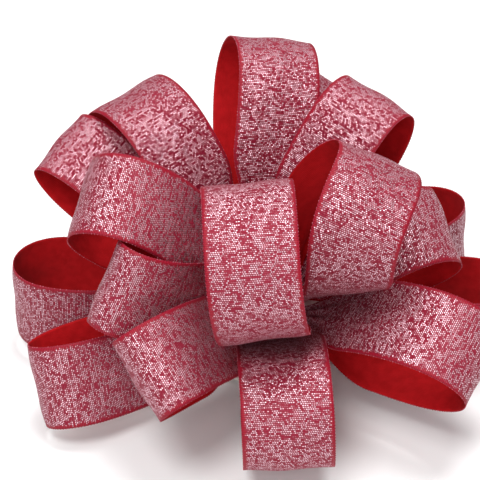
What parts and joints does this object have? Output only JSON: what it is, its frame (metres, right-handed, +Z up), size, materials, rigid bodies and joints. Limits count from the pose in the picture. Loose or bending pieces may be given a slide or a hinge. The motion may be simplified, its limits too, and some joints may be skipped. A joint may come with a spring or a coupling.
{
  "type": "pre-made gift bow",
  "caption": "Ready-made gift bow of looped red metallic glitter-weave ribbon, gathered and wired at its waist on an adhesive card base.",
  "frame": {"origin": "middle of the adhesive pad's underside, the face that sticks to a gift", "axes": "+Z up out of the gift through the bow's waist, -Y towards the bow's front, +X to its right seen from the front"},
  "size_m": [0.1594, 0.1528, 0.0927],
  "materials": {
    "ribbon_glitter": "crimson ribbon woven with silvery pink metallic glitter, red selvedge",
    "ribbon_satin": "plain red satin, the ribbon's inner face",
    "wire": "soft binding wire",
    "glue": "cloudy hot-melt glue",
    "card": "white card, matt",
    "foam": "white adhesive foam, matt"
  },
  "bodies": {
    "core": {"gathered_core": "ribbon_satin", "binding_wire": "wire", "wire_twisted_end": "wire", "glue_ring": "glue", "card_disc": "card", "adhesive_pad": "foam"},
    "crown_front": {"loop_crown_front": "ribbon_glitter"},
    "crown_back": {"loop_crown_back": "ribbon_glitter"},
    "crown_left": {"loop_crown_left": "ribbon_glitter"},
    "crown_right": {"loop_crown_right": "ribbon_glitter"},
    "crown_back_right": {"loop_crown_back_right": "ribbon_glitter"},
    "middle_front_left": {"loop_middle_front_left": "ribbon_glitter"},
    "middle_left": {"loop_middle_left": "ribbon_glitter"},
    "middle_back_left": {"loop_middle_back_left": "ribbon_glitter"},
    "middle_back_right": {"loop_middle_back_right": "ribbon_glitter"},
    "middle_right": {"loop_middle_right": "ribbon_glitter"},
    "lower_front": {"loop_lower_front": "ribbon_glitter"},
    "lower_front_left": {"loop_lower_front_left": "ribbon_glitter"},
    "lower_left": {"loop_lower_left": "ribbon_glitter"},
    "lower_front_right": {"loop_lower_front_right": "ribbon_glitter"},
    "lower_right": {"loop_lower_right": "ribbon_glitter"},
    "lower_side_left": {"loop_lower_side_left": "ribbon_glitter"},
    "lower_back_left": {"loop_lower_back_left": "ribbon_glitter"},
    "lower_back": {"loop_lower_back": "ribbon_glitter"},
    "lower_back_right": {"loop_lower_back_right": "ribbon_glitter"},
    "lower_side_right": {"loop_lower_side_right": "ribbon_glitter"}
  },
  "joints": [
    {"name": "crown_front_bend", "type": "hinge", "parent": "core", "child": "crown_front", "pos_m": [-0.00054, -0.01213, 0.02888], "axis": [0.9727, 0.1462, 0.18], "range_deg": [-1, 0]},
    {"name": "crown_back_bend", "type": "hinge", "parent": "core", "child": "crown_back", "pos_m": [-0.00066, 0.00942, 0.03366], "axis": [-0.975, -0.1474, 0.1664], "range_deg": [-1, 4]},
    {"name": "crown_left_bend", "type": "hinge", "parent": "core", "child": "crown_left", "pos_m": [-0.00952, 0.00997, 0.02769], "axis": [-0.7638, -0.6234, -0.1672], "range_deg": [-6, 2]},
    {"name": "crown_right_bend", "type": "hinge", "parent": "core", "child": "crown_right", "pos_m": [0.00917, -0.00706, 0.02957], "axis": [-0.6844, -0.7236, -0.0894], "range_deg": [0, 6]},
    {"name": "crown_back_right_bend", "type": "hinge", "parent": "core", "child": "crown_back_right", "pos_m": [0.00416, 0.00361, 0.03177], "axis": [-0.7767, 0.5799, 0.2459], "range_deg": [-1, 1]},
    {"name": "middle_front_left_bend", "type": "hinge", "parent": "core", "child": "middle_front_left", "pos_m": [-0.0093, -0.00667, 0.0253], "axis": [0.2072, 0.5348, 0.8192], "range_deg": [-5, 1]},
    {"name": "middle_left_bend", "type": "hinge", "parent": "core", "child": "middle_left", "pos_m": [-0.01041, 0.00001, 0.03007], "axis": [0.2193, 0.8115, 0.5417], "range_deg": [0, 5]},
    {"name": "middle_back_left_bend", "type": "hinge", "parent": "core", "child": "middle_back_left", "pos_m": [-0.01355, 0.0046, 0.02602], "axis": [-0.515, -0.8033, -0.2992], "range_deg": [-1, 6]},
    {"name": "middle_back_right_bend", "type": "hinge", "parent": "core", "child": "middle_back_right", "pos_m": [0.00425, 0.01146, 0.02823], "axis": [-0.8954, 0.1312, 0.4255], "range_deg": [-1, 4]},
    {"name": "middle_right_bend", "type": "hinge", "parent": "core", "child": "middle_right", "pos_m": [0.00775, 0, 0.02285], "axis": [-0.3368, 0.7193, 0.6076], "range_deg": [-1, 1]},
    {"name": "lower_front_bend", "type": "hinge", "parent": "core", "child": "lower_front", "pos_m": [0.00435, -0.0109, 0.01839], "axis": [0.9978, 0.0421, 0.0518], "range_deg": [-1, 2]},
    {"name": "lower_front_left_bend", "type": "hinge", "parent": "core", "child": "lower_front_left", "pos_m": [-0.00384, -0.01105, 0.01942], "axis": [-0.4942, 0.5741, 0.6528], "range_deg": [-1, 1]},
    {"name": "lower_left_bend", "type": "hinge", "parent": "core", "child": "lower_left", "pos_m": [-0.01074, -0.00685, 0.01617], "axis": [-0.0942, 0.205, 0.9742], "range_deg": [-2, 2]},
    {"name": "lower_front_right_bend", "type": "hinge", "parent": "core", "child": "lower_front_right", "pos_m": [0.00868, -0.007, 0.02025], "axis": [0.4903, 0.7762, 0.3963], "range_deg": [0, 2]},
    {"name": "lower_right_bend", "type": "hinge", "parent": "core", "child": "lower_right", "pos_m": [0.01199, -0.00065, 0.015], "axis": [-0.0061, 0.1735, 0.9848], "range_deg": [-3, 2]},
    {"name": "lower_side_left_bend", "type": "hinge", "parent": "core", "child": "lower_side_left", "pos_m": [-0.01192, 0.00022, 0.01635], "axis": [0.0451, 0.0823, 0.9956], "range_deg": [-1, 1]},
    {"name": "lower_back_left_bend", "type": "hinge", "parent": "core", "child": "lower_back_left", "pos_m": [-0.00866, 0.00843, 0.017], "axis": [-0.1879, -0.224, 0.9563], "range_deg": [-4, 1]},
    {"name": "lower_back_bend", "type": "hinge", "parent": "core", "child": "lower_back", "pos_m": [-0.00225, 0.01174, 0.017], "axis": [-0.2026, -0.0468, 0.9781], "range_deg": [-3, 4]},
    {"name": "lower_back_right_bend", "type": "hinge", "parent": "core", "child": "lower_back_right", "pos_m": [0.00507, 0.01214, 0.016], "axis": [-0.0637, 0.0284, 0.9976], "range_deg": [-1, 2]},
    {"name": "lower_side_right_bend", "type": "hinge", "parent": "core", "child": "lower_side_right", "pos_m": [0.00957, 0.00815, 0.01835], "axis": [-0.0209, -0.0329, 0.9992], "range_deg": [-2, 1]}
  ]
}
